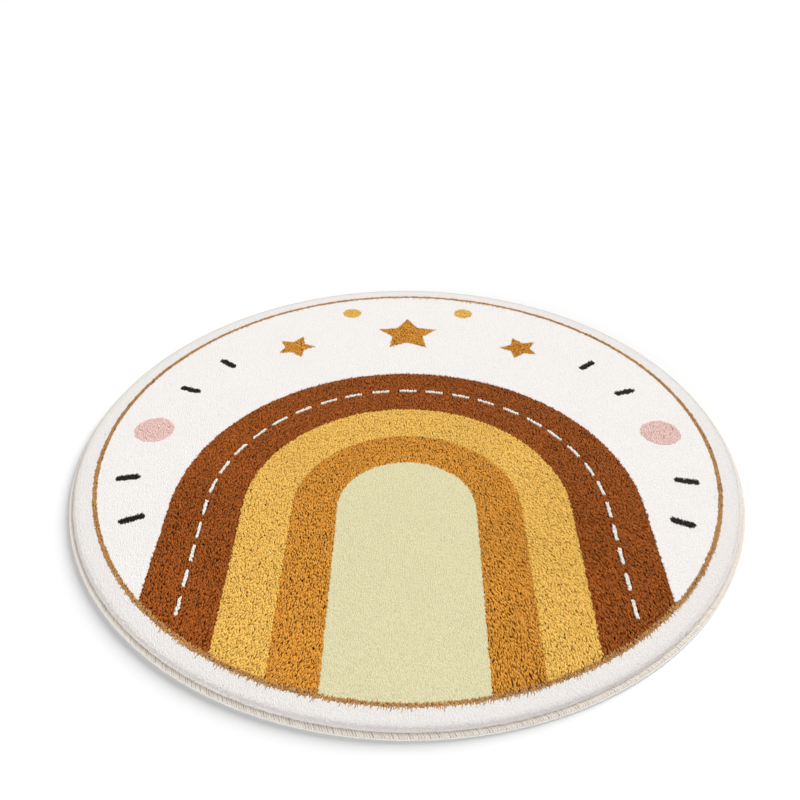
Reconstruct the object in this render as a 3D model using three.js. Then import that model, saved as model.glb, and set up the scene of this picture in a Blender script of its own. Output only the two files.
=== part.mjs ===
// A round tufted rug with a short cut pile and an overlocked edge, lying flat.
// Millimetres, +Z up. The origin is the centre of the underside, on the surface the rug lies on.
// Both pieces are solids of revolution about +Z. A section is written as points (radius, height).

import * as THREE from 'three';

// Driving dimensions of the whole rug
const RUG_DIAMETER = 800;
const RUG_THICKNESS = 10;
const SEGMENTS = 120;

// Clearance between the two sewn pieces
const SEWN_GAP = 0.3;

// Pile: full height inside the shoulder, then it rounds down to the seam with the binding
const SHOULDER_WIDTH = 4;
const SHOULDER_STEPS = 6;
const SEAM_HEIGHT = 4;

// Backing cloth: the cut edge that the binding wraps
const BACKING_THICKNESS = 1.6;

// Binding: the ribbed band rolls from the seam down to a bead at the outer foot
const BAND_WIDTH = 5.6;
const BAND_CROWN = 1.8;
const BAND_STEPS = 6;
const YARN_THICKNESS = 0.9;
const BEAD_RADIUS = 1.2;
const BEAD_STEPS = 6;
const UNDER_REACH = 8;

// Finishes
const IVORY_PILE = { color: 0xece8e1, roughness: 0.95, metalness: 0 };
const ECRU_YARN = { color: 0xd9d1c4, roughness: 0.85, metalness: 0 };

// Sizes worked out from the ones above
const rimRadius = RUG_DIAMETER / 2;
const seamRadius = rimRadius - BAND_WIDTH;
const underRadius = rimRadius - UNDER_REACH;
const backingRadius = rimRadius - 2 * BEAD_RADIUS - SEWN_GAP;
const backingFloor = YARN_THICKNESS + SEWN_GAP;
const backingTop = backingFloor + BACKING_THICKNESS;

function point(radius, height) {
  return new THREE.Vector2(radius, height);
}

// Points on part of an ellipse, its angles in degrees from the outward side towards the crown.
function arc(centre, halfWidth, halfHeight, fromDegrees, toDegrees, steps) {
  const points = [];
  for (let i = 0; i <= steps; i += 1) {
    const angle = THREE.MathUtils.degToRad(THREE.MathUtils.lerp(fromDegrees, toDegrees, i / steps));
    points.push(point(
      centre.x + halfWidth * Math.cos(angle),
      centre.y + halfHeight * Math.sin(angle),
    ));
  }
  return points;
}

// The ribbed band: a swelling curve from the top of the bead up and in to the seam.
function bandPoints() {
  const foot = point(rimRadius - BEAD_RADIUS, 2 * BEAD_RADIUS);
  const along = point(seamRadius, SEAM_HEIGHT).sub(foot);
  const outward = point(along.y, -along.x).normalize();
  const points = [];
  for (let i = 1; i <= BAND_STEPS; i += 1) {
    const share = i / BAND_STEPS;
    const swell = BAND_CROWN * Math.sin(share * Math.PI);
    points.push(foot.clone().addScaledVector(along, share).addScaledVector(outward, swell));
  }
  return points;
}

// The wrapped yarn as one C-shaped ring, open towards the middle of the rug.
function bindingSection() {
  const beadCentre = point(rimRadius - BEAD_RADIUS, BEAD_RADIUS);
  const section = [
    ...arc(beadCentre, BEAD_RADIUS, BEAD_RADIUS, -90, 90, BEAD_STEPS),
    ...bandPoints(),
    point(seamRadius, backingTop + SEWN_GAP),
    point(backingRadius + SEWN_GAP, backingTop + SEWN_GAP),
    point(backingRadius + SEWN_GAP, YARN_THICKNESS),
    point(underRadius, YARN_THICKNESS),
    point(underRadius, 0),
  ];
  return [...section, section[0].clone()];
}

// The panel: flat underside, the cut edge inside the binding, then the pile's side, shoulder and top.
function panelSection() {
  const pileRadius = seamRadius - SEWN_GAP;
  const shoulderCentre = point(pileRadius - SHOULDER_WIDTH, SEAM_HEIGHT);
  const shoulderHeight = RUG_THICKNESS - SEAM_HEIGHT;
  return [
    point(0, 0),
    point(underRadius - SEWN_GAP, 0),
    point(underRadius - SEWN_GAP, backingFloor),
    point(backingRadius, backingFloor),
    point(backingRadius, backingTop),
    point(pileRadius, backingTop),
    ...arc(shoulderCentre, SHOULDER_WIDTH, shoulderHeight, 0, 90, SHOULDER_STEPS),
    point(0, RUG_THICKNESS),
  ];
}

// Turns a section about +Z into a named solid.
function turned(name, section, finish) {
  const geometry = new THREE.LatheGeometry(section, SEGMENTS);
  geometry.rotateX(Math.PI / 2);
  const mesh = new THREE.Mesh(geometry, new THREE.MeshStandardMaterial(finish));
  mesh.name = name;
  return mesh;
}

const rug = new THREE.Group();
rug.add(turned('pile_panel', panelSection(), IVORY_PILE));
rug.add(turned('edge_binding', bindingSection(), ECRU_YARN));

export default rug;
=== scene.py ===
"""Looks of a round cut-pile rug with an overlocked edge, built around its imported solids.

The rug is a backing cloth, a pile of separate tufts in several yarn colours and an edge of wrapped yarn.
Sizes are in millimetres until a mesh is made, and meshes are in metres.
"""

import logging
import math
from dataclasses import dataclass
from enum import Enum

import bpy
import numpy as np
from mathutils import Matrix, Vector


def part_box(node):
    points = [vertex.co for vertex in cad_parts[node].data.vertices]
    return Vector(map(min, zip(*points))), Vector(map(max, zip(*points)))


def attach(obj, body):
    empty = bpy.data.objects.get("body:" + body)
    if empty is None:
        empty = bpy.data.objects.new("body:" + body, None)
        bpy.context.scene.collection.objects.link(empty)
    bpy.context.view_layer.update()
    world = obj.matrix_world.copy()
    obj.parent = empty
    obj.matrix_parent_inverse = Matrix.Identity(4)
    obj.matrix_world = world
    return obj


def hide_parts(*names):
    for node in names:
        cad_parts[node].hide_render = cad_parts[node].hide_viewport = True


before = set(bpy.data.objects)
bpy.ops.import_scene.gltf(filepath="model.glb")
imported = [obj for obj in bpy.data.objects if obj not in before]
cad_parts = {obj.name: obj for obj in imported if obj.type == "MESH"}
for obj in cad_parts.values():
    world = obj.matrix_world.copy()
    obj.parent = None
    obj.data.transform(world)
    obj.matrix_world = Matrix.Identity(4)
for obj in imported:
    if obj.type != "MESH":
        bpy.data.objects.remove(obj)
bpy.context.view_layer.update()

MM = 0.001
BODY = "root"
PANEL_NODE = "pile_panel"
BINDING_NODE = "edge_binding"
ROW_SEED = 19

# Every tuft and wrap has its own cell of the bake map, and fills this share of the cell's width.
BAKE_MAP = "OFBake"
CELL_FILL = 0.84

# Attributes that only the growing trees read, which a finished mesh doesn't keep.
SPARE_ATTRIBUTES = ("reach", "tilt", "girth", "nap", "sway", "cell", "shift")

# Blender's names for the kinds of node that are used most.
MATH = "ShaderNodeMath"
VECTOR_MATH = "ShaderNodeVectorMath"
MAP_RANGE = "ShaderNodeMapRange"
MIX = "ShaderNodeMix"
NOISE = "ShaderNodeTexNoise"
BUMP = "ShaderNodeBump"
COMBINE = "ShaderNodeCombineXYZ"
SEPARATE = "ShaderNodeSeparateXYZ"
RANDOM = "FunctionNodeRandomValue"
ROTATION = "FunctionNodeAxisAngleToRotation"
READ = "GeometryNodeInputNamedAttribute"
STORE = "GeometryNodeStoreNamedAttribute"
MOVE = "GeometryNodeSetPosition"

log = logging.getLogger("rug")


def linear(hex_colour: str) -> tuple[float, float, float, float]:
    """Turns an sRGB hex colour into linear RGBA.

    Args:
        hex_colour: six hex digits after a hash sign.

    Returns:
        Red, green, blue and alpha, from 0 to 1.
    """
    parts = [int(hex_colour[i:i + 2], 16) / 255 for i in (1, 3, 5)]
    low = [c / 12.92 if c <= 0.04045 else ((c + 0.055) / 1.055) ** 2.4 for c in parts]
    return (*low, 1.0)


def feed(tree: bpy.types.NodeTree, node: bpy.types.Node, inputs: dict[int | str, object]) -> None:
    """Links or sets the inputs of a node.

    Args:
        tree: the tree that the node is in.
        node: the node.
        inputs: by number or name, an output socket, a node for its first output in use, or a constant.
    """
    for key, given in inputs.items():
        named = isinstance(key, str)
        target = next(s for s in node.inputs if s.name == key and s.enabled) if named else node.inputs[key]
        if isinstance(given, bpy.types.Node):
            given = next(s for s in given.outputs if s.enabled)
        if isinstance(given, bpy.types.NodeSocket):
            tree.links.new(given, target)
        else:
            target.default_value = given


def add_node(
    tree: bpy.types.NodeTree,
    kind: str,
    inputs: dict[int | str, object] | None = None,
    **settings: object,
) -> bpy.types.Node:
    """Adds a node to a shader or geometry tree.

    Args:
        tree: the tree it goes into.
        kind: Blender's name for the node type.
        inputs: what its inputs get, as for feed.
        **settings: the node's own properties.

    Returns:
        The new node.
    """
    node = tree.nodes.new(kind)
    for name, value in settings.items():
        setattr(node, name, value)
    feed(tree, node, inputs or {})
    return node


def new_material(name: str) -> tuple[bpy.types.Material, bpy.types.NodeTree, bpy.types.Node]:
    """Starts a node material.

    Args:
        name: what it is called.

    Returns:
        The material, its node tree and its main shader.
    """
    made = bpy.data.materials.new(name)
    made.use_nodes = True
    return made, made.node_tree, made.node_tree.nodes["Principled BSDF"]


def cells_across(count: int) -> int:
    """Side of the square of bake cells that holds this many tufts or wraps."""
    return math.ceil(math.sqrt(count))


def hand_over(piece: bpy.types.Object, node: str) -> None:
    """Gives a finished piece its place in the part.

    Args:
        piece: the piece.
        node: the CAD node that it stands for.
    """
    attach(piece, BODY)
    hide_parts(node)
    log.info("%s: %d faces", piece.name, len(piece.data.polygons))


class Yarn(Enum):
    """The yarns of the pile. The band outside the ring line and the edge's rim rows take the ivory yarn in
    darker colours: painted shade.
    """

    IVORY = "ivory"
    BORDER = "border"
    WHITE = "white"
    BROWN = "brown"
    GOLD = "gold"
    AMBER = "amber"
    STRAW = "straw"
    ROSE = "rose"
    BLACK = "black"
    RING = "ring"


@dataclass(frozen=True)
class Cut:
    """The shape of a yarn's tufts and how level their cut ends stand.

    Attributes:
        longest: the longest tuft as a share of the pile's height.
        shortest: the shortest one.
        sway: how far a tuft may lean at random, as a slope.
        shoulder: height of a tuft's widest ring as a share of its length.
        crisp: 1 where the cut leaves a clear rim on each tuft, 0 where the tuft is rounded over.
        bloom: mean radius of a tuft's widest ring, in millimetres.
        drawn: how much longer than wide that ring is, along the nap.
        turn: how far a tuft may turn from the nap, in degrees.
        pitch: distance between tufts in an open field, in millimetres.
    """

    longest: float
    shortest: float
    sway: float
    shoulder: float
    crisp: float
    bloom: float
    drawn: float
    turn: float
    pitch: float

    @property
    def half_width(self) -> float:
        """Half the widest ring's width across the nap."""
        return self.bloom / math.sqrt(self.drawn)

    @property
    def half_length(self) -> float:
        """Half its length along the nap."""
        return self.bloom * math.sqrt(self.drawn)


# Close and level, for the pale fields.
LEVEL_CUT = Cut(
    longest=0.985, shortest=0.965, sway=0.04, shoulder=0.955, crisp=1.0,
    bloom=4.1, drawn=2.0, turn=22.0, pitch=3.3,
)
# Rounded and nearly level, for lines and small marks.
SOFT_CUT = Cut(
    longest=1.0, shortest=0.95, sway=0.08, shoulder=0.95, crisp=0.0,
    bloom=2.2, drawn=2.4, turn=26.0, pitch=2.4,
)
# A little uneven, for the lightest of the strong colours.
FAIR_CUT = Cut(
    longest=1.0, shortest=0.88, sway=0.1, shoulder=0.94, crisp=0.0,
    bloom=2.1, drawn=2.4, turn=26.0, pitch=2.4,
)
# Open and uneven, so that dark gaps show between the tufts of the deeper colours.
LOOSE_CUT = Cut(
    longest=1.0, shortest=0.82, sway=0.12, shoulder=0.92, crisp=0.0,
    bloom=1.95, drawn=3.0, turn=26.0, pitch=2.4,
)
# Small and broad, for the rows that fan out round the edge.
RIM_CUT = Cut(
    longest=0.985, shortest=0.965, sway=0.04, shoulder=0.94, crisp=1.0,
    bloom=1.65, drawn=0.8, turn=20.0, pitch=1.9,
)
# Slim, for the ends that stray out of the ring line.
STRAY_CUT = Cut(
    longest=1.0, shortest=0.99, sway=0.04, shoulder=0.97, crisp=1.0,
    bloom=0.85, drawn=3.6, turn=15.0, pitch=1.0,
)


@dataclass(frozen=True)
class PileFinish:
    """Heat-set polyester pile yarn, cut level: matt, slightly fuzzy tips, with the stems painted darker as
    shade deep in the pile.

    Attributes:
        colour: the colour's plain name.
        slot: the record's material slot; it is not used.
        tip: colour of the cut ends.
        stem_shade: painted shade deep in the pile, a darker colour that the stems take instead of the tip's.
        spread: how far tufts differ in brightness, as a share.
        cut: how level the cut ends stand.
        shade: how far the painted shade darkens the edges of fibre bunches and lightens their middles, as a
            share.
        sheen: weight of the fuzzy edge light.
        sheen_rough: roughness of that light.
        gloss: specular level of the fibres.
        matt: roughness from the middle of a fibre bunch to its edge.
        tip_span: where the stems' painted shade ends and the tip's colour begins, in depths of a tuft's
            rounded end.
        dye_span: sums of patch and tuft that give the darkest and the brightest tuft.
        fibre_span: distances in a fibre bunch that give its brightest and its darkest painted shade.
        fibre_end: distance where a bunch's rounded end runs out.
        fibre_draw: squeeze of the pattern along the nap, which draws the bunches out.
        fibre_rise_mm: how far the bunches stand out.
    """

    colour: str
    slot: str
    tip: str
    stem_shade: str
    spread: float
    cut: Cut
    shade: float
    sheen: float = 0.1
    sheen_rough: float = 0.6
    gloss: float = 0.2
    matt: tuple[float, float] = (0.8, 1.0)
    tip_span: tuple[float, float] = (2.2, 0.19)
    dye_span: tuple[float, float] = (0.25, 1.75)
    fibre_span: tuple[float, float] = (0.2, 0.9)
    fibre_end: float = 0.8
    fibre_draw: float = 0.35
    fibre_rise_mm: float = 0.4

    # Single fibres are about 0.05 mm thick, too fine to show, so their ends are drawn as bunches of 0.8 mm.
    fibre_mm: float = 0.8
    # Dye takes unevenly over patches about the size of a hand.
    patch_mm: float = 90.0

    def material(self) -> bpy.types.Material:
        """Makes the node material.

        Returns:
            A material that reads the tufts' own attributes.
        """
        made, tree, shader = new_material(f"{self.colour} polyester pile")
        along, tint = (
            add_node(tree, "ShaderNodeAttribute", attribute_name=name).outputs["Fac"]
            for name in ("along", "tint")
        )
        place = add_node(tree, "ShaderNodeTexCoord").outputs["Object"]
        # Painted shade: by height in the tuft, the stems deep in the pile take a darker colour than the
        # tips.
        low, high = (1 - depth * (1 - self.cut.shoulder) for depth in self.tip_span)
        height = add_node(tree, MAP_RANGE, {"Value": along, "From Min": low, "From Max": high})
        colours = {"A": linear(self.stem_shade), "B": linear(self.tip)}
        mixed_colour = add_node(tree, MIX, {"Factor": height, **colours}, data_type="RGBA")
        patch = add_node(tree, NOISE, {"Vector": place, "Scale": 1 / (self.patch_mm * MM), "Detail": 2.0})
        dye = add_node(tree, MATH, {0: patch, 1: tint}, operation="ADD")
        value = add_node(tree, MAP_RANGE, {
            "Value": dye, "From Min": self.dye_span[0], "From Max": self.dye_span[1],
            "To Min": 1 - self.spread, "To Max": 1 + self.spread,
        })
        # Painted shade: each fibre bunch is lighter in its middle and darker at its edges, where the bunches
        # meet. Its tone also varies at random by tuft and patch.
        drawn = add_node(tree, VECTOR_MATH, {0: place, 1: (1, self.fibre_draw, 1)}, operation="MULTIPLY")
        fibre = add_node(tree, "ShaderNodeTexVoronoi", {"Vector": drawn, "Scale": 1 / (self.fibre_mm * MM)})
        between = add_node(tree, MAP_RANGE, {
            "Value": fibre, "From Min": self.fibre_span[0], "From Max": self.fibre_span[1],
            "To Min": 1 + self.shade, "To Max": 1 - self.shade,
        })
        tone_and_bunch_shade = add_node(tree, MATH, {0: value, 1: between}, operation="MULTIPLY")
        varied = add_node(tree, "ShaderNodeHueSaturation", {"Color": mixed_colour, "Value": tone_and_bunch_shade})
        rough = add_node(tree, MAP_RANGE, {"Value": fibre, "To Min": self.matt[0], "To Max": self.matt[1]})
        ends = add_node(
            tree, MAP_RANGE, {"Value": fibre, "From Max": self.fibre_end, "To Min": 1.0, "To Max": 0.0},
        )
        bump = add_node(
            tree, BUMP, {"Height": ends, "Strength": 1.0, "Distance": self.fibre_rise_mm * MM},
        )
        feed(tree, shader, {
            "Base Color": varied, "Roughness": rough, "Normal": bump, "Specular IOR Level": self.gloss,
            "Sheen Weight": self.sheen, "Sheen Roughness": self.sheen_rough, "Sheen Tint": linear(self.tip),
        })
        return made


# Columns: colour, slot, tip, the stems' painted shade, spread, cut, and the painted shade between fibre
# bunches.
PILE = {
    Yarn.IVORY: PileFinish("ivory", "ivory_pile", "#F6F2EF", "#E4DED6", 0.02, LEVEL_CUT, 0.06),
    # The band outside the ring line uses the ivory yarn's colours made darker: painted shade.
    Yarn.BORDER: PileFinish("border", "ivory_pile", "#EFEBE8", "#DDD6CE", 0.02, LEVEL_CUT, 0.06),
    Yarn.WHITE: PileFinish("white", "ivory_pile", "#F8F3EB", "#DFD3C2", 0.03, SOFT_CUT, 0.06),
    Yarn.BROWN: PileFinish("brown", "brown_pile", "#AC5B19", "#4A1A03", 0.36, LOOSE_CUT, 0.25),
    Yarn.GOLD: PileFinish("gold", "gold_pile", "#E9A33D", "#96560A", 0.16, LOOSE_CUT, 0.2),
    Yarn.AMBER: PileFinish("amber", "amber_pile", "#F9C963", "#BB8026", 0.12, FAIR_CUT, 0.15),
    Yarn.STRAW: PileFinish("straw", "straw_pile", "#E1DAB0", "#C6BC8A", 0.03, LEVEL_CUT, 0.15),
    Yarn.ROSE: PileFinish("rose", "rose_pile", "#EFCDC6", "#D49F97", 0.08, SOFT_CUT, 0.15),
    Yarn.BLACK: PileFinish("black", "black_pile", "#1F1814", "#0B0706", 0.25, SOFT_CUT, 0.2, sheen=0.05),
    Yarn.RING: PileFinish("tan", "gold_pile", "#BF8E55", "#764A28", 0.32, SOFT_CUT, 0.25),
}


@dataclass(frozen=True)
class EdgeFinish:
    """Thick spun polyester overlock yarn: matt ribs with a soft twist."""

    name: str = "ecru overlock yarn"
    slot: str = "edge_yarn"
    crest: str = "#FDF5EA"
    hollow: str = "#EDE1D4"
    # lumps of the yarn's twist: their size and how far they stand out
    ply_mm: float = 0.6
    ply_rise_mm: float = 0.2
    relief: float = 0.4
    matt: tuple[float, float] = (0.7, 0.95)
    gloss: float = 0.25
    sheen: float = 0.1

    def material(self) -> bpy.types.Material:
        """Makes the node material.

        Returns:
            A material that varies from wrap to wrap.
        """
        made, tree, shader = new_material(self.name)
        tint = add_node(tree, "ShaderNodeAttribute", attribute_name="tint").outputs["Fac"]
        place = add_node(tree, "ShaderNodeTexCoord").outputs["Object"]
        ply = add_node(tree, NOISE, {"Vector": place, "Scale": 1 / (self.ply_mm * MM), "Detail": 2.0})
        both = add_node(tree, MATH, {0: tint, 1: ply}, operation="MULTIPLY")
        colours = {"A": linear(self.crest), "B": linear(self.hollow)}
        mixed_colour = add_node(tree, MIX, {"Factor": both, **colours}, data_type="RGBA")
        rough = add_node(tree, MAP_RANGE, {"Value": ply, "To Min": self.matt[0], "To Max": self.matt[1]})
        bump = add_node(
            tree, BUMP, {"Height": ply, "Strength": self.relief, "Distance": self.ply_rise_mm * MM},
        )
        feed(tree, shader, {
            "Base Color": mixed_colour, "Roughness": rough, "Normal": bump,
            "Specular IOR Level": self.gloss, "Sheen Weight": self.sheen,
        })
        return made


@dataclass(frozen=True)
class BackingFinish:
    """Woven polypropylene backing with a thin latex coat: dull, with a flat weave and painted shade in its
    gaps.
    """

    name: str = "woven backing cloth"
    slot: str = "backing_cloth"
    thread: str = "#E3DCCB"
    # the darker squares of the weave are painted shade in the gaps between the tapes
    gap: str = "#BDB39C"
    # share of the weave that the latex hides
    coat: float = 0.5
    # the weave's tapes: their width and how far their fuzz stands out
    tape_mm: float = 2.5
    rise_mm: float = 0.3
    relief: float = 0.3
    matt: tuple[float, float] = (0.75, 0.95)

    def material(self) -> bpy.types.Material:
        """Makes the node material.

        Returns:
            A material with a plain weave in the rug's own plane.
        """
        made, tree, shader = new_material(self.name)
        pattern = {
            "Vector": add_node(tree, "ShaderNodeTexCoord").outputs["Object"],
            "Scale": 1 / (self.tape_mm * MM),
        }
        thread = linear(self.thread)
        tapes_and_gap_shade = {"Color1": thread, "Color2": linear(self.gap)}
        weave = add_node(tree, "ShaderNodeTexChecker", {**pattern, **tapes_and_gap_shade})
        fuzz = add_node(tree, NOISE, {**pattern, "Detail": 3.0})
        cloth = add_node(tree, MIX, {"Factor": self.coat, "A": weave, "B": thread}, data_type="RGBA")
        rough = add_node(tree, MAP_RANGE, {"Value": fuzz, "To Min": self.matt[0], "To Max": self.matt[1]})
        bump = add_node(
            tree, BUMP, {"Height": fuzz, "Strength": self.relief, "Distance": self.rise_mm * MM},
        )
        feed(tree, shader, {"Base Color": cloth, "Roughness": rough, "Normal": bump})
        return made


@dataclass(frozen=True)
class FloorFinish:
    """Matt white emulsion paint, rolled: even, with no highlight."""

    name: str = "white studio floor"
    colour: str = "#FAFAFA"
    roughness: float = 0.9
    gloss: float = 0.0

    def material(self) -> bpy.types.Material:
        """Makes the node material.

        Returns:
            A plain material.
        """
        made, tree, shader = new_material(self.name)
        feed(tree, shader, {
            "Base Color": linear(self.colour),
            "Roughness": self.roughness,
            "Specular IOR Level": self.gloss,
        })
        return made


class GrowingTree:
    """A Geometry Nodes tree with named inputs, which turns a seed mesh into a finished piece."""

    def __init__(self, name: str, inputs: dict[str, str]) -> None:
        """Starts the tree.

        Args:
            name: what the tree is called.
            inputs: socket type by input name, such as "Float" or "Int".
        """
        self.tree = bpy.data.node_groups.new(name, "GeometryNodeTree")
        face = self.tree.interface
        face.new_socket("Geometry", in_out="INPUT", socket_type="NodeSocketGeometry")
        shared = {"Cells across": "Int", "Finish": "Material"}
        for label, kind in (inputs | shared).items():
            face.new_socket(label, in_out="INPUT", socket_type=f"NodeSocket{kind}")
        face.new_socket("Geometry", in_out="OUTPUT", socket_type="NodeSocketGeometry")
        self.given = self.add("NodeGroupInput").outputs

    def add(self, kind: str, *args: object, **settings: object) -> bpy.types.Node:
        """Adds a node to the tree."""
        return add_node(self.tree, kind, *args, **settings)

    def finish(
        self,
        instances: bpy.types.Node,
        own: dict[str, tuple[object, str]],
        moved_by: bpy.types.Node | None = None,
    ) -> None:
        """Realizes the instances, gives each its own cell of the bake map and sets the material.

        Args:
            instances: the node that gives the instances, whose mesh already holds a map of one cell.
            own: what each instance keeps, as a field and its data type by attribute name.
            moved_by: how far each point moves once the instances are real.
        """
        for name, (value, data_type) in own.items():
            instances = self.add(
                STORE, {"Geometry": instances, "Name": name, "Value": value},
                data_type=data_type, domain="INSTANCE",
            )
        made = self.add("GeometryNodeRealizeInstances", {"Geometry": instances})
        real = self.add(MOVE, {"Geometry": made} | ({"Offset": moved_by} if moved_by else {}))
        flat, cell = (
            self.add(READ, {"Name": name}, data_type="FLOAT_VECTOR") for name in (BAKE_MAP, "cell")
        )
        margin = (1 - CELL_FILL) / 2
        fill = {1: (CELL_FILL, CELL_FILL, 0), 2: (margin, margin, 0)}
        inset = self.add(VECTOR_MATH, {0: flat, **fill}, operation="MULTIPLY_ADD")
        moved = self.add(VECTOR_MATH, {0: inset, 1: cell}, operation="ADD")
        share = self.add(MATH, {0: 1.0, 1: self.given["Cells across"]}, operation="DIVIDE")
        sized = self.add(VECTOR_MATH, {0: moved, "Scale": share}, operation="SCALE")
        mapped = self.add(
            STORE, {"Geometry": real, "Name": BAKE_MAP, "Value": sized}, data_type="FLOAT2", domain="CORNER",
        )
        smooth = self.add("GeometryNodeSetShadeSmooth", {"Geometry": mapped})
        dressed = self.add("GeometryNodeSetMaterial", {"Geometry": smooth, "Material": self.given["Finish"]})
        self.add("NodeGroupOutput", {"Geometry": dressed})

    def grow(self, name: str, seed_mesh: bpy.types.Mesh, sizes: dict[str, object]) -> bpy.types.Object:
        """Runs the tree on a mesh and keeps the result as a plain mesh.

        Args:
            name: the piece's name.
            seed_mesh: the points or path that the tree starts from.
            sizes: a value for each named input.

        Returns:
            The finished piece, at the origin and with no modifier left.
        """
        piece = bpy.data.objects.new(name, seed_mesh)
        bpy.context.scene.collection.objects.link(piece)
        growth = piece.modifiers.new("growth", "NODES")
        growth.node_group = self.tree
        for item in self.tree.interface.items_tree:
            if item.in_out == "INPUT" and item.name in sizes:
                growth[item.identifier] = sizes[item.name]
        view = bpy.context.evaluated_depsgraph_get()
        grown = bpy.data.meshes.new_from_object(
            piece.evaluated_get(view), preserve_all_data_layers=True, depsgraph=view,
        )
        piece.modifiers.clear()
        piece.data = grown
        grown.name = name
        bpy.data.meshes.remove(seed_mesh)
        for spare in SPARE_ATTRIBUTES:
            if spare in grown.attributes:
                grown.attributes.remove(grown.attributes[spare])
        return piece


@dataclass
class RugSizes:
    """The rug's main sizes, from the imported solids, and the few that they don't show, in millimetres."""

    rim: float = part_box(BINDING_NODE)[1].x / MM
    thickness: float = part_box(PANEL_NODE)[1].z / MM
    backing_rim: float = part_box(PANEL_NODE)[1].x / MM
    # the seam, where the pile meets the binding
    seam_inset: float = 5.6
    seam_height: float = 4.0
    sewn_gap: float = 0.3
    yarn_thickness: float = 0.9
    under_reach: float = 8.0
    backing_thickness: float = 1.6

    @property
    def seam(self) -> float:
        """Radius of the seam between pile and binding."""
        return self.rim - self.seam_inset

    @property
    def backing_floor(self) -> float:
        """Height of the backing's underside where the binding runs under it."""
        return self.yarn_thickness + self.sewn_gap

    @property
    def backing_top(self) -> float:
        """Height of the backing's upper face, where the tufts stand."""
        return self.backing_floor + self.backing_thickness


def round_rows(radii: list[float], gap: float, stray: float) -> np.ndarray:
    """Places rows of tufts on circles about the rug's middle.

    Args:
        radii: the circles' radii.
        gap: distance from one tuft to the next.
        stray: how far a tuft may stand off its place.

    Returns:
        Places across and up the rug.
    """
    chance = np.random.default_rng(ROW_SEED)
    rows = []
    for row, radius in enumerate(radii):
        count = round(math.tau * radius / gap)
        angle = (np.arange(count) + 0.5 * (row % 2)) * math.tau / count
        rows.append(np.stack([radius * np.cos(angle), radius * np.sin(angle)], 1))
    roots = np.concatenate(rows)
    return roots + chance.uniform(-stray, stray, roots.shape)


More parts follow.
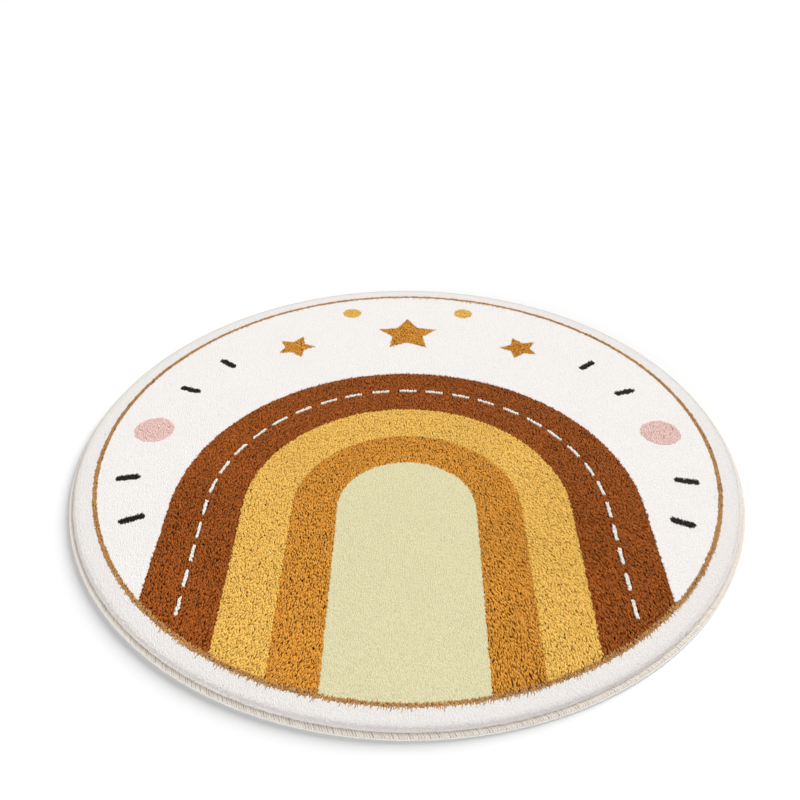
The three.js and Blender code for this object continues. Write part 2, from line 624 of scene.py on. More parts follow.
@dataclass
class ArchDesign:
    """The pile's design: nested arches, stars, dots and strokes inside a thin ring, in millimetres.

    The arches' legs run down to the ring. A row of stitches follows the middle of the widest arch. Stars,
    dots and strokes are listed for the right half and mirrored to the left.
    """

    ring_radius: float = 371.0
    ring_up: float = 2.0
    ring_width: float = 6.0
    ring_row_gap: float = 1.8
    arch_foot: tuple[float, float] = (0.0, -110.0)
    # yarn and outer radius, from the widest arch inwards
    arches: tuple[tuple[Yarn, float], ...] = (
        (Yarn.BROWN, 270.0),
        (Yarn.AMBER, 186.0),
        (Yarn.GOLD, 130.0),
        (Yarn.STRAW, 78.0),
    )
    # across, up, radius, turn in degrees
    stars: tuple[tuple[float, float, float, float], ...] = (
        (0.0, 262.0, 46.0, 0.0),
        (160.0, 226.0, 30.0, -16.0),
    )
    # radius of a star's inner corners as a share of its own
    star_waist: float = 0.52
    # yarn, across, up, radius
    dots: tuple[tuple[Yarn, float, float, float], ...] = (
        (Yarn.ROSE, 318.0, 30.0, 25.0),
        (Yarn.AMBER, 84.0, 322.0, 14.0),
    )
    # across, up, direction in degrees
    strokes: tuple[tuple[float, float, float], ...] = (
        (250.0, 182.0, 40.0),
        (290.0, 118.0, 20.0),
        (328.0, -62.0, -10.0),
        (306.0, -132.0, -25.0),
    )
    stroke_length: float = 30.0
    stroke_width: float = 10.0
    stitch_length: float = 23.0
    stitch_gap: float = 13.0
    stitch_width: float = 4.6
    # a stitch that would start nearer the ring line is left out
    stitch_ring_gap: float = 12.0
    stitch_row_gap: float = 1.4
    row_stray: float = 0.7
    tuft_gap: float = 2.3

    def arch_place(self, x: np.ndarray, y: np.ndarray) -> tuple[np.ndarray, np.ndarray]:
        """Measures points against the arches.

        Args:
            x: places across the rug.
            y: places up the rug.

        Returns:
            Each point's arch radius, and its way round the stitched arch from its top.
        """
        across = x - self.arch_foot[0]
        up = y - self.arch_foot[1]
        curved = up > 0
        radius = np.where(curved, np.hypot(across, up), np.abs(across))
        turn = np.where(curved, np.arctan2(across, np.maximum(up, 0)), np.sign(across) * math.pi / 2)
        way = turn * self.stitch_radius + np.where(curved, 0, -np.sign(across) * up)
        return radius, way

    @property
    def stitch_radius(self) -> float:
        """Arch radius that the stitches follow."""
        return (self.arches[0][1] + self.arches[1][1]) / 2

    @property
    def stitch_pitch(self) -> float:
        """Distance from one stitch to the next."""
        return self.stitch_length + self.stitch_gap

    def in_stitch(self, x: np.ndarray, y: np.ndarray, margin: float) -> np.ndarray:
        """Tells which points lie within a margin of a stitch.

        Args:
            x: places across the rug.
            y: places up the rug.
            margin: how far outside a stitch still counts.

        Returns:
            True for each such point.
        """
        radius, way = self.arch_place(x, y)
        beside = np.abs(radius - self.stitch_radius) < self.stitch_width / 2 + margin
        ahead = np.mod(way + self.stitch_pitch / 2, self.stitch_pitch) - self.stitch_pitch / 2
        clear = self.past_ring(x, y) < -self.stitch_ring_gap
        return beside & (np.abs(ahead) < self.stitch_length / 2 + margin) & clear

    def past_ring(self, x: np.ndarray, y: np.ndarray) -> np.ndarray:
        """Measures how far points lie outside the ring line, or inside it as negative distances."""
        return np.hypot(x, y - self.ring_up) - self.ring_radius

    def ring_rows(self, offsets: list[float], gap: float, stray: float) -> np.ndarray:
        """Places rows of tufts at these distances outside the ring line, as round_rows does."""
        rows = round_rows([self.ring_radius + offset for offset in offsets], gap, stray)
        return rows + np.array([0.0, self.ring_up])

    def in_star(self, x: np.ndarray, y: np.ndarray, star: tuple[float, float, float, float]) -> np.ndarray:
        """Tells which points lie in a five-pointed star.

        Args:
            x: places across the rug.
            y: places up the rug.
            star: the star's row of the table.

        Returns:
            True for each point inside.
        """
        across, up, tip, turn = star
        sector = math.tau / 5
        angle = np.arctan2(x - across, y - up) - math.radians(turn)
        off = np.abs(np.mod(angle + sector / 2, sector) - sector / 2)
        waist = tip * self.star_waist
        reach = tip * waist * math.sin(sector / 2)
        reach = reach / (tip * np.sin(off) + waist * np.sin(sector / 2 - off))
        return np.hypot(x - across, y - up) < reach

    def in_stroke(self, x: np.ndarray, y: np.ndarray, stroke: tuple[float, float, float]) -> np.ndarray:
        """Tells which points lie in a short round-ended stroke.

        Args:
            x: places across the rug.
            y: places up the rug.
            stroke: the stroke's row of the table.

        Returns:
            True for each point inside.
        """
        across, up, turn = stroke
        ahead = np.array([math.cos(math.radians(turn)), math.sin(math.radians(turn))])
        half = (self.stroke_length - self.stroke_width) / 2
        along = np.clip((x - across) * ahead[0] + (y - up) * ahead[1], -half, half)
        gap = np.hypot(x - across - along * ahead[0], y - up - along * ahead[1])
        return gap < self.stroke_width / 2

    def yarns_at(self, x: np.ndarray, y: np.ndarray) -> np.ndarray:
        """Chooses the yarn of each tuft by where it stands.

        Args:
            x: places across the rug.
            y: places up the rug.

        Returns:
            An array of yarns.
        """
        chosen = np.full(x.shape, Yarn.IVORY, dtype=object)
        past = self.past_ring(x, y)
        # The band outside the ring line takes the ivory yarn's darker copy, painted shade.
        chosen[past > 0] = Yarn.BORDER
        radius, _ = self.arch_place(x, y)
        for yarn, outer in self.arches:
            chosen[(past < -self.ring_width / 2) & (radius < outer)] = yarn
        for own_x in (x, -x):
            for star in self.stars:
                chosen[self.in_star(own_x, y, star)] = Yarn.GOLD
            for yarn, across, up, size in self.dots:
                chosen[np.hypot(own_x - across, y - up) < size] = yarn
            for stroke in self.strokes:
                chosen[self.in_stroke(own_x, y, stroke)] = Yarn.BLACK
        return chosen

    def near_change(self, x: np.ndarray, y: np.ndarray, reach: float) -> np.ndarray:
        """Tells which points have another yarn close by.

        Args:
            x: places across the rug.
            y: places up the rug.
            reach: how far off counts as close.

        Returns:
            True for each such point.
        """
        here = self.yarns_at(x, y)
        near = np.abs(self.past_ring(x, y)) < self.ring_width / 2 + reach
        near |= self.in_stitch(x, y, reach)
        for turn in np.arange(8) * math.tau / 8:
            near |= self.yarns_at(x + reach * math.cos(turn), y + reach * math.sin(turn)) != here
        return near

    def ring_roots(self) -> np.ndarray:
        """Places three close rows of tufts along the ring line."""
        return self.ring_rows([-self.ring_row_gap, 0.0, self.ring_row_gap], self.tuft_gap, self.row_stray)

    def stitch_roots(self) -> np.ndarray:
        """Places two close rows of tufts in each stitch.

        Returns:
            Places across and up the rug.
        """
        reach = self.stitch_radius * math.pi / 2 + self.ring_radius
        way = np.arange(-reach, reach, self.tuft_gap)
        turn = np.clip(way / self.stitch_radius, -math.pi / 2, math.pi / 2)
        down = np.maximum(np.abs(way) - self.stitch_radius * math.pi / 2, 0)
        rows = []
        for side in (-0.5, 0.5):
            radius = self.stitch_radius + side * self.stitch_row_gap
            x = self.arch_foot[0] + radius * np.sin(turn)
            y = self.arch_foot[1] + radius * np.cos(turn) - down
            keep = self.in_stitch(x, y, 0.0)
            rows.append(np.stack([x[keep], y[keep]], 1))
        return np.concatenate(rows)


@dataclass
class Batch:
    """The tufts of one piece, in millimetres.

    Attributes:
        yarn: what they are made of.
        cut: how they are cut.
        roots: where they start, across, up and above the floor.
        reach: how long they are.
        nap: how far they lean sideways, as slopes across and up.
        tilt: how far they are tipped outwards, in radians.
        girth: how wide they are, as a share of the cut's own width.
    """

    yarn: Yarn
    cut: Cut
    roots: np.ndarray
    reach: np.ndarray
    nap: np.ndarray
    tilt: np.ndarray
    girth: np.ndarray


@dataclass
class CutPile:
    """The tufts: one spindle of yarn each, pinched at the backing and spread at its cut end."""

    sizes: RugSizes
    design: ArchDesign
    sides: int = 4
    seed: int = 7
    most_tufts: int = 22000
    # how deep a tuft starts in the backing
    rooted: float = 0.6
    # the pile's lean as slopes across and up, and the waves in which it drifts
    nap: tuple[float, float] = (0.0, -0.1)
    drift: float = 0.02
    drift_waves: tuple[float, float, float, float] = (61.0, 97.0, 73.0, 118.0)
    drift_phase: float = 4.4
    # how far roots are strewn off their grid, in pitches, and how they then push apart
    strew: float = 0.5
    settling: int = 8
    push: float = 0.3
    # closer tufts beside a change of yarn, and how far they run in among the others
    fine_pitch: float = 1.8
    fine_reach: float = 2.6
    fine_overlap: float = 0.7
    # rows beside the ring line: their step and how far they hold off other tufts are in fine pitches
    flank_gap: float = 0.6
    flank_step: float = 0.8
    flank_reach: float = 1.4
    flank_stray: float = 0.3
    # how far the ground keeps off a stitch, in fine pitches
    stitch_margin: float = 0.3
    # rows of tufts along the pile's edge: how far in from the shoulder, then how far round it in degrees
    rim_rows: tuple[tuple[float, float], ...] = (
        (3.0, 0), (1.5, 0), (0, 4), (0, 14), (0, 25), (0, 36), (0, 47), (0, 59), (0, 71), (0, 85),
    )
    rim_depth: float = 5.0
    # the shoulder's width and overhang, and how far inside it and below the pile's top the tips end
    rim_round: float = 3.6
    rim_overhang: float = 1.3
    rim_inset: float = 0.35
    rim_drop: float = 0.25
    # a lean too small to show, which only turns those tufts to face outwards
    rim_nap: float = 0.001
    line_girth: float = 0.85
    # ends that stray out of the ring line, and where tufts stand along each as shares of its length
    strays: int = 900
    stray_seed: int = 12
    stray_length: float = 1.2
    stray_limit: float = 4.0
    stray_steps: tuple[float, ...] = (0.5, 0.75, 1.0)
    # narrowest and widest tuft as shares, and the power that makes short tufts rare
    girth_span: tuple[float, float] = (0.88, 1.12)
    few_short: float = 3.0
    # how far from its shoulder an edge of a tuft may be and still be sharp
    rim_slack: float = 0.004

    def strewn_roots(self, reach: float, pitch: float) -> np.ndarray:
        """Spreads roots evenly but in no order: a strewn hexagonal grid whose neighbours push apart.

        Args:
            reach: half the side of the square to fill.
            pitch: distance between roots.

        Returns:
            Places across and up the rug.
        """
        row_pitch = pitch * math.sqrt(3) / 2
        rows = int(reach / row_pitch) + 1
        columns = int(reach / pitch) + 1
        column, row = np.meshgrid(np.arange(-columns, columns + 1), np.arange(-rows, rows + 1))
        roots = np.stack([(column + 0.5 * (row % 2)) * pitch, row * row_pitch], -1)
        stray = np.random.default_rng(self.seed).uniform(-1, 1, roots.shape)
        roots = roots + stray * self.strew * pitch
        around = [(down, across) for down in (-1, 0, 1) for across in (-1, 0, 1) if (down, across) != (0, 0)]
        for _ in range(self.settling):
            push = np.zeros_like(roots)
            for step in around:
                gap = roots - np.roll(roots, step, (0, 1))
                length = np.hypot(gap[..., :1], gap[..., 1:])
                push += gap / length * np.maximum(pitch - length, 0)
            roots = roots + self.push * push
        return roots.reshape(-1, 2)

    def ground_roots(self) -> tuple[np.ndarray, np.ndarray]:
        """Places the tufts of the ground, wide apart in open fields and close beside a change of yarn.

        Returns:
            Places across and up the rug, and how wide each tuft is.
        """
        design = self.design
        beside = design.ring_width / 2 + self.flank_gap
        flat_rim = self.rim_middle - self.rim_rows[0][0] - 0.5 * RIM_CUT.pitch
        steps = (0, self.flank_step * self.fine_pitch)
        flanks = [side * (beside + step) for side in (-1, 1) for step in steps]
        found = [design.ring_rows(flanks, self.fine_pitch, self.flank_stray)]
        shares = [self.fine_pitch / self.own_pitch(found[0])]
        for pitch in sorted({LEVEL_CUT.pitch, LOOSE_CUT.pitch, self.fine_pitch}):
            roots = self.strewn_roots(self.rim_middle, pitch)
            clear = np.abs(design.past_ring(*roots.T)) > beside + self.flank_reach * self.fine_pitch
            roots = roots[clear & (np.hypot(*roots.T) < flat_rim)]
            own = self.own_pitch(roots)
            if pitch == self.fine_pitch:
                chosen = self.in_belt(roots, flat_rim, self.fine_reach + self.fine_overlap)
            else:
                chosen = (own == pitch) & ~self.in_belt(roots, flat_rim, self.fine_reach)
            found.append(roots[chosen])
            shares.append(pitch / own[chosen])
        roots = np.concatenate(found)
        keep = ~design.in_stitch(*roots.T, self.stitch_margin * self.fine_pitch)
        return roots[keep], np.concatenate(shares)[keep]

    def own_pitch(self, roots: np.ndarray) -> np.ndarray:
        """Gives the distance between tufts in an open field of the yarn at each place."""
        return np.array([PILE[yarn].cut.pitch for yarn in self.design.yarns_at(*roots.T)])

    def in_belt(self, roots: np.ndarray, flat_rim: float, reach: float) -> np.ndarray:
        """Tells which roots are close to a change of yarn or to the edge's rows, which start at flat_rim."""
        return self.design.near_change(*roots.T, reach) | (np.hypot(*roots.T) > flat_rim - 2 * reach)

    @property
    def rim_middle(self) -> float:
        """Radius where the shoulder begins, whose tips hang a little over the binding."""
        return self.sizes.seam - self.sizes.sewn_gap - self.rim_round + self.rim_overhang

    def rim_batch(self) -> Batch:
        """Places even rows of small tufts along the pile's edge, which fan out round the shoulder.

        Returns:
            The rows as one batch.
        """
        sizes = self.sizes
        half_width = self.rim_round - self.rim_inset
        half_height = sizes.thickness - sizes.seam_height - self.rim_drop
        roots = []
        tilts = []
        for inset, way in self.rim_rows:
            turn = math.radians(way)
            tilt = math.atan2(math.sin(turn) / half_width, math.cos(turn) / half_height)
            radius = self.rim_middle - inset + half_width * math.sin(turn) - self.rim_depth * math.sin(tilt)
            height = sizes.seam_height + half_height * math.cos(turn) - self.rim_depth * math.cos(tilt)
            row = round_rows([radius], RIM_CUT.pitch, self.flank_stray)
            roots.append(np.column_stack([row, np.full(len(row), height)]))
            tilts.append(np.full(len(row), tilt))
        places = np.concatenate(roots)
        reach = np.full(len(places), self.rim_depth)
        outward = places[:, :2] / np.hypot(*places[:, :2].T)[:, None]
        girth = np.ones(len(places))
        nap = self.rim_nap * outward
        # The rim rows take the ivory yarn's darker copy, painted shade.
        return Batch(Yarn.BORDER, RIM_CUT, places, reach, nap, np.concatenate(tilts), girth)

    def stray_batch(self) -> Batch:
        """Places the stray tufts that run out of the ring line along the nap.

        Returns:
            Short lines of slim tufts as one batch.
        """
        chance = np.random.default_rng(self.stray_seed)
        angle = chance.uniform(0, math.tau, self.strays)
        start = self.design.ring_radius * np.stack([np.cos(angle), np.sin(angle)], 1)
        start[:, 1] += self.design.ring_up
        ahead = self.nap_at(start)
        ahead = ahead / np.hypot(*ahead.T)[:, None]
        past = np.minimum(chance.exponential(self.stray_length, self.strays), self.stray_limit)
        reach = self.design.ring_width / 2 + past
        places = np.concatenate([start + ahead * (reach * share)[:, None] for share in self.stray_steps])
        return self.standing(Yarn.RING, STRAY_CUT, places, np.ones(len(places)))

    def standing(self, yarn: Yarn, cut: Cut, roots: np.ndarray, girth: np.ndarray) -> Batch:
        """Makes a batch of upright tufts of full height.

        Args:
            yarn: what they are made of.
            cut: how they are cut.
            roots: places across and up the rug.
            girth: how wide they are, as a share of the cut's own width.

        Returns:
            The batch, with the nap of each place.
        """
        count = len(roots)
        root_floor = self.sizes.backing_top - self.rooted
        places = np.column_stack([roots, np.full(count, root_floor)])
        reach = np.full(count, self.sizes.thickness - root_floor)
        return Batch(yarn, cut, places, reach, self.nap_at(roots), np.zeros(count), girth)

    def nap_at(self, roots: np.ndarray) -> np.ndarray:
        """Gives the slow drift of the pile's lean.

        Args:
            roots: places across and up the rug.

        Returns:
            The sideways lean of each tuft, as a slope.
        """
        x, y = roots.T
        first, second, third, fourth = self.drift_waves
        across = np.sin(y / first + self.drift_phase) + np.sin(x / second)
        up = np.sin(x / third + y / fourth)
        return np.array(self.nap) + self.drift * np.stack([across, up], 1)

    def tuft_tree(self) -> GrowingTree:
        """Builds the tree that stands a tuft on each root.

        Returns:
            The tree, with the tuft's sizes as named inputs.
        """
        grow = GrowingTree("cut pile tufts", {
            "Sides": "Int", "Half width": "Float", "Half length": "Float", "Shoulder": "Float",
            "Crisp rim": "Float", "Lean": "Float", "Turn": "Float", "Longest": "Float", "Shortest": "Float",
            "Lean seed": "Int", "Size seed": "Int",
        })
        given = grow.given
        along, reach, tilt, own_girth = (
            grow.add(READ, {"Name": name}, data_type="FLOAT") for name in ("along", "reach", "tilt", "girth")
        )
        nap, sway = (grow.add(READ, {"Name": name}, data_type="FLOAT_VECTOR") for name in ("nap", "sway"))

        # A ball with one ring between its poles, which slides up to the shoulder.
        ball = grow.add("GeometryNodeMeshUVSphere", {"Segments": given["Sides"], "Rings": 2, "Radius": 1.0})
        place = grow.add("GeometryNodeInputPosition")
        axes = grow.add(SEPARATE, {0: place}).outputs
        level = grow.add(MATH, {0: axes["Z"], 1: 0.5, 2: 0.5}, operation="MULTIPLY_ADD")
        power = grow.add(MATH, {0: given["Shoulder"], 1: 0.5}, operation="LOGARITHM")
        height = grow.add(MATH, {0: level, 1: power}, operation="POWER")
        shaped = grow.add(COMBINE, {"X": axes["X"], "Y": axes["Y"], "Z": height})
        tuft = grow.add(MOVE, {"Geometry": ball, "Position": shaped})
        at_rim = grow.add(MATH, {0: along, 1: given["Shoulder"], 2: self.rim_slack}, operation="COMPARE")
        crisp = grow.add(MATH, {0: at_rim, 1: given["Crisp rim"]}, operation="MULTIPLY")
        for name, value, data_type, domain in (
            (BAKE_MAP, ball.outputs["UV Map"], "FLOAT2", "CORNER"),
            ("along", axes["Z"], "FLOAT", "POINT"),
            ("sharp_edge", crisp, "BOOLEAN", "EDGE"),
        ):
            tuft = grow.add(
                STORE, {"Geometry": tuft, "Name": name, "Value": value}, data_type=data_type, domain=domain,
            )

        # Each tuft's random swing, and its shares of girth, length and tint.
        swing, share = (
            grow.add(
                RANDOM, {"Seed": given[seed], "Min": (least,) * 3, "Max": (1, 1, 1)},
                data_type="FLOAT_VECTOR",
            )
            for seed, least in (("Lean seed", -1), ("Size seed", 0))
        )
        shares = grow.add(SEPARATE, {0: share}).outputs
        lean = grow.add(VECTOR_MATH, {0: swing, "Scale": given["Lean"]}, operation="SCALE")
        level_lean = grow.add(VECTOR_MATH, {0: lean, 1: (1, 1, 0)}, operation="MULTIPLY")
        leaning = grow.add(VECTOR_MATH, {0: level_lean, 1: nap}, operation="ADD")

        # It turns along the nap and tips outwards.
        nap_axes = grow.add(SEPARATE, {0: nap}).outputs
        left = grow.add(MATH, {0: nap_axes["X"], 1: -1.0}, operation="MULTIPLY")
        heading = grow.add(MATH, {0: left, 1: nap_axes["Y"]}, operation="ARCTAN2")
        twist = grow.add(SEPARATE, {0: swing}).outputs["Z"]
        turn = grow.add(MATH, {0: twist, 1: given["Turn"], 2: heading}, operation="MULTIPLY_ADD")
        spin = grow.add(ROTATION, {"Axis": (0, 0, 1), "Angle": turn})
        sideways = grow.add(VECTOR_MATH, {0: (0, 0, 1), 1: place}, operation="CROSS_PRODUCT")
        tip_out = grow.add(ROTATION, {"Axis": sideways, "Angle": tilt})
        posed = grow.add(
            "FunctionNodeRotateRotation", {"Rotation": spin, "Rotate By": tip_out}, rotation_space="GLOBAL",
        )

        # Its width, and its length with few short ones.
        girth_share = grow.add(
            MAP_RANGE, {"Value": shares["X"], "To Min": self.girth_span[0], "To Max": self.girth_span[1]},
        )
        girth = grow.add(MATH, {0: girth_share, 1: own_girth}, operation="MULTIPLY")
        width, draw = (
            grow.add(MATH, {0: girth, 1: given[name]}, operation="MULTIPLY")
            for name in ("Half width", "Half length")
        )
        rank = grow.add(MATH, {0: shares["Y"], 1: self.few_short}, operation="POWER")
        reach_share = grow.add(
            MAP_RANGE, {"Value": rank, "To Min": given["Longest"], "To Max": given["Shortest"]},
        )
        length = grow.add(MATH, {0: reach_share, 1: reach}, operation="MULTIPLY")
        scale = grow.add(COMBINE, {"X": width, "Y": draw, "Z": length})
        stood = grow.add("GeometryNodeInstanceOnPoints", {
            "Points": given["Geometry"], "Instance": tuft, "Rotation": posed, "Scale": scale,
        })

        # Once real, it leans more the higher up it is.
        rise = grow.add(MATH, {0: along, 1: reach}, operation="MULTIPLY")
        aside = grow.add(VECTOR_MATH, {0: sway, "Scale": rise}, operation="SCALE")
        grow.finish(stood, {"tint": (shares["Z"], "FLOAT"), "sway": (leaning, "FLOAT_VECTOR")}, aside)
        return grow

    def root_mesh(self, name: str, batch: Batch) -> bpy.types.Mesh:
        """Makes a mesh of root points with what each tuft needs to know.

        Args:
            name: what the mesh is called.
            batch: the tufts.

        Returns:
            A mesh with no faces.
        """
        count = len(batch.roots)
        mesh = bpy.data.meshes.new(name)
        mesh.from_pydata((batch.roots * MM).tolist(), [], [])
        row, column = np.divmod(np.arange(count), cells_across(count))
        nap = np.column_stack([batch.nap, np.zeros(count)])
        cell = np.column_stack([column, row, np.zeros(count)])
        for label, values in (("reach", batch.reach * MM), ("tilt", batch.tilt), ("girth", batch.girth)):
            mesh.attributes.new(label, "FLOAT", "POINT").data.foreach_set("value", values.astype(np.float32))
        for label, values in (("nap", nap), ("cell", cell)):
            kept = mesh.attributes.new(label, "FLOAT_VECTOR", "POINT")
            kept.data.foreach_set("vector", values.astype(np.float32).ravel())
        return mesh

    def batches(self) -> dict[str, Batch]:
        """Sorts every tuft into the piece that it belongs to.

        Returns:
            Batches by piece name.
        """
        ground, girth = self.ground_roots()
        yarns = self.design.yarns_at(*ground.T)
        parts = {"pile_shaded_border_rim": self.rim_batch(), "pile_ring_strays": self.stray_batch()}
        for yarn in (
            Yarn.BORDER, Yarn.IVORY, Yarn.BROWN, Yarn.AMBER, Yarn.GOLD, Yarn.STRAW, Yarn.ROSE, Yarn.BLACK,
        ):
            for name, part in self.strips(f"pile_{yarn.value}", np.flatnonzero(yarns == yarn), ground):
                parts[name] = self.standing(yarn, PILE[yarn].cut, ground[part], girth[part])
        for name, yarn, roots in (
            ("pile_ring_line", Yarn.RING, self.design.ring_roots()),
            ("pile_white_stitches", Yarn.WHITE, self.design.stitch_roots()),
        ):
            share = np.full(len(roots), self.line_girth)
            parts[name] = self.standing(yarn, PILE[yarn].cut, roots, share)
        return parts

    def strips(self, name: str, chosen: np.ndarray, roots: np.ndarray) -> list[tuple[str, np.ndarray]]:
        """Cuts a field that is too large for one piece into strips from left to right.

        Args:
            name: the field's name.
            chosen: which roots are in the field.
            roots: places across and up the rug.

        Returns:
            Names and chosen roots, few enough for a piece.
        """
        count = math.ceil(len(chosen) / self.most_tufts)
        if count == 1:
            return [(name, chosen)]
        ordered = chosen[np.argsort(roots[chosen, 0])]
        return [(f"{name}_{i + 1}", part) for i, part in enumerate(np.array_split(ordered, count))]

    def build(self) -> list[bpy.types.Object]:
        """Stands all the tufts, one piece for each batch.

        Returns:
            The pile's pieces.
        """
        tree = self.tuft_tree()
        finishes = {yarn: PILE[yarn].material() for yarn in Yarn}
        pieces = []
        for order, (name, batch) in enumerate(self.batches().items()):
            cut = batch.cut
            piece = tree.grow(name, self.root_mesh(name, batch), {
                "Sides": self.sides,
                "Half width": cut.half_width * MM,
                "Half length": cut.half_length * MM,
                "Shoulder": cut.shoulder,
                "Crisp rim": cut.crisp,
                "Lean": cut.sway,
                "Turn": math.radians(cut.turn),
                "Longest": cut.longest,
                "Shortest": cut.shortest,
                "Lean seed": self.seed + 2 * order,
                "Size seed": self.seed + 2 * order + 1,
                "Cells across": cells_across(len(batch.roots)),
                "Finish": finishes[batch.yarn],
            })
            hand_over(piece, PANEL_NODE)
            pieces.append(piece)
        return pieces


@dataclass
class BackingCloth:
    """The woven cloth that the tufts are sewn through, cut to a circle."""

    sizes: RugSizes
    segments: int = 240
    rings: int = 10

    def section(self) -> np.ndarray:
        """Gives the cloth's section, from the middle of its underside round to the middle of its top.

        Returns:
            Rows of radius and height, in millimetres.
        """
        sizes = self.sizes
        step = sizes.rim - sizes.under_reach - sizes.sewn_gap
        under = [(step * i / self.rings, 0.0) for i in range(1, self.rings + 1)]
        rim = [
            (step, sizes.backing_floor),
            (sizes.backing_rim, sizes.backing_floor),
            (sizes.backing_rim, sizes.backing_top),
        ]
        top = [(step * i / self.rings, sizes.backing_top) for i in range(self.rings, 0, -1)]
        return np.array(under + rim + top)

    def build(self) -> bpy.types.Object:
        """Turns the section into a closed disc.

        Returns:
            The finished cloth.
        """
        section = self.section() * MM
        angle = np.arange(self.segments) * math.tau / self.segments
        rings = [
            np.stack([radius * np.cos(angle), radius * np.sin(angle), np.full_like(angle, height)], 1)
            for radius, height in section
        ]
        points = np.concatenate([*rings, [[0, 0, section[0, 1]], [0, 0, section[-1, 1]]]])
        low, high = len(points) - 2, len(points) - 1
        last = (len(section) - 1) * self.segments
        faces = []
        for i in range(self.segments):
            j = (i + 1) % self.segments
            faces.append((low, j, i))
            faces.append((high, last + i, last + j))
            for k in range(len(section) - 1):
                here, above = k * self.segments, (k + 1) * self.segments
                faces.append((here + i, here + j, above + j, above + i))
        mesh = bpy.data.meshes.new("backing_cloth")
        mesh.from_pydata(points.tolist(), [], faces)
        finish = BackingFinish()
        mesh.materials.append(finish.material())
        cloth = bpy.data.objects.new("backing_cloth", mesh)
        bpy.context.scene.collection.objects.link(cloth)
        hand_over(cloth, PANEL_NODE)
        return cloth


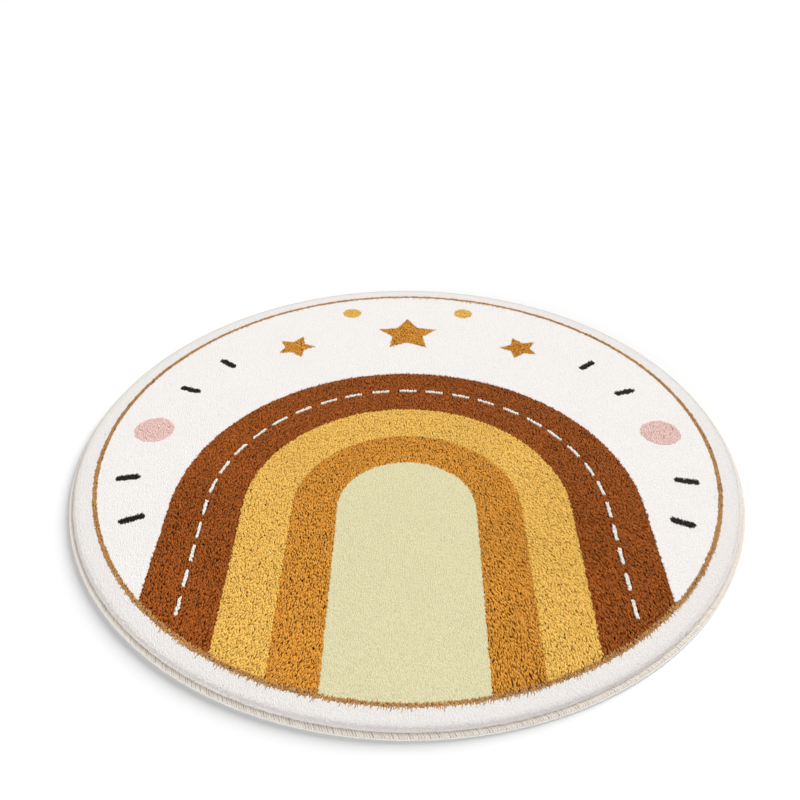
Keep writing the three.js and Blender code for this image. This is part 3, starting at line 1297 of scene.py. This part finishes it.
@dataclass
class OverlockedEdge:
    """The edge yarn: close slanting wraps over the cut edge, locked by a row of loops at its foot."""

    sizes: RugSizes
    wrap_pitch: float = 2.52
    half_width: float = 1.2
    half_thickness: float = 0.6
    sides: int = 6
    # a wrap's way from under the pile to its foot, along which it slants round the rim
    swell: float = 1.8
    tuck: float = 0.5
    slant: float = 3.4
    top_steps: int = 5
    loop_radius: float = 1.2
    loop_length: float = 4.2
    loop_slant: float = 14.0
    loop_sides: int = 6
    loop_rings: int = 3
    # how far wraps and loops stand off their places, in pitches, and differ in height, as a share
    stray: float = 0.2
    height_spread: float = 0.03
    seed: int = 31

    @property
    def wraps(self) -> int:
        """How many wraps go round the rim."""
        return round(math.tau * self.sizes.rim / self.wrap_pitch)

    def wrap_path(self) -> bpy.types.Mesh:
        """Makes the path of one wrap, in a plane through the rug's axis, at the rim on +X.

        Returns:
            A mesh of edges only.
        """
        sizes = self.sizes
        head = np.array([sizes.seam - self.tuck, sizes.seam_height + self.tuck])
        foot = np.array([sizes.rim - self.loop_radius, 2 * self.loop_radius])
        fall = foot - head
        outward = np.array([-fall[1], fall[0]]) / np.hypot(*fall)
        places = []
        for share in np.linspace(0, 1, self.top_steps + 1):
            lift = self.swell * math.sin(math.pi * share) - self.half_thickness
            places.append(head + fall * share + outward * lift)
        low = self.half_thickness
        places.append(np.array([sizes.rim - 2 * low, 2 * low]))
        places.append(np.array([sizes.rim - 4 * low, low]))
        places.append(np.array([sizes.rim - sizes.under_reach + low, low]))
        points = [(radius * MM, 0.0, height * MM) for radius, height in places]
        shift = np.minimum(np.arange(len(places)) / self.top_steps, 1) * self.slant * MM
        mesh = bpy.data.meshes.new("wrap path")
        mesh.from_pydata(points, [(i, i + 1) for i in range(len(points) - 1)], [])
        mesh.attributes.new("shift", "FLOAT", "POINT").data.foreach_set("value", shift.astype(np.float32))
        return mesh

    def round_the_rim(self, grow: GrowingTree, strand: bpy.types.Node) -> None:
        """Repeats a strand round the rug's axis, each copy a little different, and ends the tree.

        Args:
            grow: the tree that is being built.
            strand: the node that gives the mesh of one strand, at the rim on +X.
        """
        given = grow.given
        spots = grow.add("GeometryNodePoints", {"Count": given["Count"]})
        order = grow.add("GeometryNodeInputIndex")
        least = (-0.5, 1 - self.height_spread, 0)
        most = (0.5, 1 + self.height_spread, 1)
        chance = grow.add(
            RANDOM, {"Seed": given["Seed"], "Min": least, "Max": most}, data_type="FLOAT_VECTOR",
        )
        chances = grow.add(SEPARATE, {0: chance}).outputs
        place = grow.add(MATH, {0: chances["X"], 1: given["Stray"], 2: order}, operation="MULTIPLY_ADD")
        share = grow.add(MATH, {0: place, 1: given["Count"]}, operation="DIVIDE")
        angle = grow.add(MATH, {0: share, 1: math.tau}, operation="MULTIPLY")
        spin = grow.add(ROTATION, {"Axis": (0, 0, 1), "Angle": angle})
        scale = grow.add(COMBINE, {"X": 1.0, "Y": 1.0, "Z": chances["Y"]})
        placed = grow.add("GeometryNodeInstanceOnPoints", {
            "Points": spots, "Instance": strand, "Rotation": spin, "Scale": scale,
        })
        column, row = (
            grow.add(MATH, {0: order, 1: given["Cells across"]}, operation=operation)
            for operation in ("MODULO", "DIVIDE")
        )
        whole_row = grow.add(MATH, {0: row}, operation="FLOOR")
        cell = grow.add(COMBINE, {"X": column, "Y": whole_row})
        grow.finish(placed, {"tint": (chances["Z"], "FLOAT"), "cell": (cell, "FLOAT_VECTOR")})

    def wrap_tree(self) -> GrowingTree:
        """Builds the tree that lays the wraps.

        Returns:
            The tree, with the yarn's sizes as named inputs.
        """
        grow = GrowingTree("overlock wraps", {
            "Count": "Int", "Half width": "Float", "Half thickness": "Float", "Sides": "Int",
            "Stray": "Float", "Seed": "Int",
        })
        given = grow.given
        path = grow.add("GeometryNodeMeshToCurve", {"Mesh": given["Geometry"]})
        ring = grow.add("GeometryNodeCurvePrimitiveCircle", {"Resolution": given["Sides"], "Radius": 1.0})
        flat_scale = grow.add(COMBINE, {"X": given["Half width"], "Y": given["Half thickness"], "Z": 1.0})
        oval = grow.add("GeometryNodeTransform", {"Geometry": ring, "Scale": flat_scale})
        share = grow.add("GeometryNodeSplineParameter").outputs["Factor"]
        path, oval = (
            grow.add(
                STORE, {"Geometry": curve, "Name": name, "Value": share}, data_type="FLOAT", domain="POINT",
            )
            for curve, name in ((path, "along"), (oval, "around"))
        )
        strand = grow.add(
            "GeometryNodeCurveToMesh", {"Curve": path, "Profile Curve": oval, "Fill Caps": True},
        )
        along, around, shift = (
            grow.add(READ, {"Name": name}, data_type="FLOAT") for name in ("along", "around", "shift")
        )
        flat = grow.add(COMBINE, {"X": along, "Y": around})
        mapped = grow.add(
            STORE, {"Geometry": strand, "Name": BAKE_MAP, "Value": flat},
            data_type="FLOAT2", domain="CORNER",
        )
        aside = grow.add(COMBINE, {"Y": shift})
        self.round_the_rim(grow, grow.add(MOVE, {"Geometry": mapped, "Offset": aside}))
        return grow

    def loop_tree(self) -> GrowingTree:
        """Builds the tree that sets a locking loop at the foot of each wrap.

        Returns:
            The tree, with the loop's sizes as named inputs.
        """
        grow = GrowingTree("overlock loops", {
            "Count": "Int", "Rim": "Float", "Loop radius": "Float", "Loop length": "Float",
            "Slant": "Float", "Stray": "Float", "Seed": "Int",
        })
        given = grow.given
        thick = given["Loop radius"]
        ball = grow.add(
            "GeometryNodeMeshUVSphere",
            {"Segments": self.loop_sides, "Rings": self.loop_rings, "Radius": 1.0},
        )
        mapped = grow.add(
            STORE, {"Geometry": ball, "Name": BAKE_MAP, "Value": ball.outputs["UV Map"]},
            data_type="FLOAT2", domain="CORNER",
        )
        half = grow.add(MATH, {0: given["Loop length"], 1: 0.5}, operation="MULTIPLY")
        scale = grow.add(COMBINE, {"X": thick, "Y": half, "Z": thick})
        middle = grow.add(MATH, {0: given["Rim"], 1: thick}, operation="SUBTRACT")
        place = grow.add(COMBINE, {"X": middle, "Z": thick})
        turn = grow.add(COMBINE, {"X": given["Slant"]})
        self.round_the_rim(grow, grow.add("GeometryNodeTransform", {
            "Geometry": mapped, "Translation": place, "Rotation": turn, "Scale": scale,
        }))
        return grow

    def build(self) -> list[bpy.types.Object]:
        """Lays the wraps and their locking loops.

        Returns:
            The edge's pieces.
        """
        wrap_yarn = EdgeFinish()
        # The loops take the edge yarn in whiter colours: a painted highlight along the foot of the edge.
        highlit_loop_yarn = EdgeFinish("locking yarn with painted highlight", crest="#FFFDF9", hollow="#F6F1E8")
        shared = {"Count": self.wraps, "Stray": self.stray, "Cells across": cells_across(self.wraps)}
        wraps = self.wrap_tree().grow("edge_wraps", self.wrap_path(), {
            **shared,
            "Half width": self.half_width * MM,
            "Half thickness": self.half_thickness * MM,
            "Sides": self.sides,
            "Seed": self.seed,
            "Finish": wrap_yarn.material(),
        })
        loops = self.loop_tree().grow("edge_loops", bpy.data.meshes.new("loop seed"), {
            **shared,
            "Rim": self.sizes.rim * MM,
            "Loop radius": self.loop_radius * MM,
            "Loop length": self.loop_length * MM,
            "Slant": math.radians(self.loop_slant),
            "Seed": self.seed + 1,
            "Finish": highlit_loop_yarn.material(),
        })
        for piece in (wraps, loops):
            hand_over(piece, BINDING_NODE)
        return [wraps, loops]


@dataclass
class Studio:
    """A white floor, soft light and the photograph's camera."""

    # distances are in metres and angles in degrees
    lens_mm: float = 40.1
    sensor_mm: float = 36.0
    distance: float = 1.1042
    elevation: float = 39.15
    aim_up: float = 3.33
    aim_left: float = 0.46
    roll: float = -0.34
    floor_size: float = 60.0
    floor_gap: float = 0.0002
    sky: float = 0.32
    window: float = 3.88
    window_spread: float = 30.0
    window_from: tuple[float, float, float] = (1.2, 1.5, 1.1)
    fill: float = 1.8
    fill_spread: float = 40.0
    fill_from: tuple[float, float, float] = (-0.8, -1.35, 0.34)

    def camera(self) -> None:
        """Places the camera and makes it the scene's own."""
        rise = math.radians(self.elevation)
        back = Vector((0, -math.cos(rise), math.sin(rise)))
        right = Vector((1, 0, 0))
        facing = Matrix((right, back.cross(right), back)).transposed()
        for degrees, axis in ((self.aim_left, "Y"), (self.aim_up, "X"), (-self.roll, "Z")):
            facing = facing @ Matrix.Rotation(math.radians(degrees), 3, axis)
        lens = bpy.data.cameras.new("camera")
        lens.lens = self.lens_mm
        lens.sensor_width = self.sensor_mm
        camera = bpy.data.objects.new("camera", lens)
        camera.matrix_world = Matrix.Translation(back * self.distance) @ facing.to_4x4()
        bpy.context.scene.collection.objects.link(camera)
        bpy.context.scene.camera = camera

    def floor(self) -> None:
        """Lays the floor."""
        half = self.floor_size / 2
        mesh = bpy.data.meshes.new("floor")
        corners = [(-half, -half), (half, -half), (half, half), (-half, half)]
        mesh.from_pydata([(x, y, -self.floor_gap) for x, y in corners], [], [(0, 1, 2, 3)])
        mesh.materials.append(FloorFinish().material())
        floor = bpy.data.objects.new("floor", mesh)
        bpy.context.scene.collection.objects.link(floor)

    def lights(self) -> None:
        """Sets an even white sky, a broad window light from behind on the right and a low front fill."""
        scene = bpy.context.scene
        scene.view_settings.view_transform = "Standard"
        scene.world = bpy.data.worlds.new("studio sky")
        scene.world.use_nodes = True
        sky = scene.world.node_tree.nodes["Background"]
        feed(scene.world.node_tree, sky, {"Color": (1, 1, 1, 1), "Strength": self.sky})
        self.sun("window", self.window, self.window_spread, self.window_from)
        self.sun("fill", self.fill, self.fill_spread, self.fill_from)

    @staticmethod
    def sun(name: str, strength: float, spread: float, place: tuple[float, float, float]) -> None:
        """Adds a far light that shines on the rug's middle.

        Args:
            name: what the light is called.
            strength: its strength.
            spread: how wide it looks, in degrees.
            place: where it stands.
        """
        lamp = bpy.data.lights.new(name, "SUN")
        lamp.angle = math.radians(spread)
        lamp.energy = strength
        light = bpy.data.objects.new(name, lamp)
        stand = Vector(place)
        light.matrix_world = Matrix.Translation(stand) @ stand.to_track_quat("Z", "Y").to_matrix().to_4x4()
        bpy.context.scene.collection.objects.link(light)

    def build(self) -> None:
        """Sets the camera, floor and lights."""
        self.camera()
        self.floor()
        self.lights()


def main() -> None:
    """Builds the rug and its studio."""
    logging.basicConfig(level=logging.INFO, format="%(name)s: %(message)s")
    sizes = RugSizes()
    Studio().build()
    cloth = BackingCloth(sizes).build()
    pile = CutPile(sizes, ArchDesign()).build()
    edge = OverlockedEdge(sizes).build()


if __name__ == "__main__":
    main()
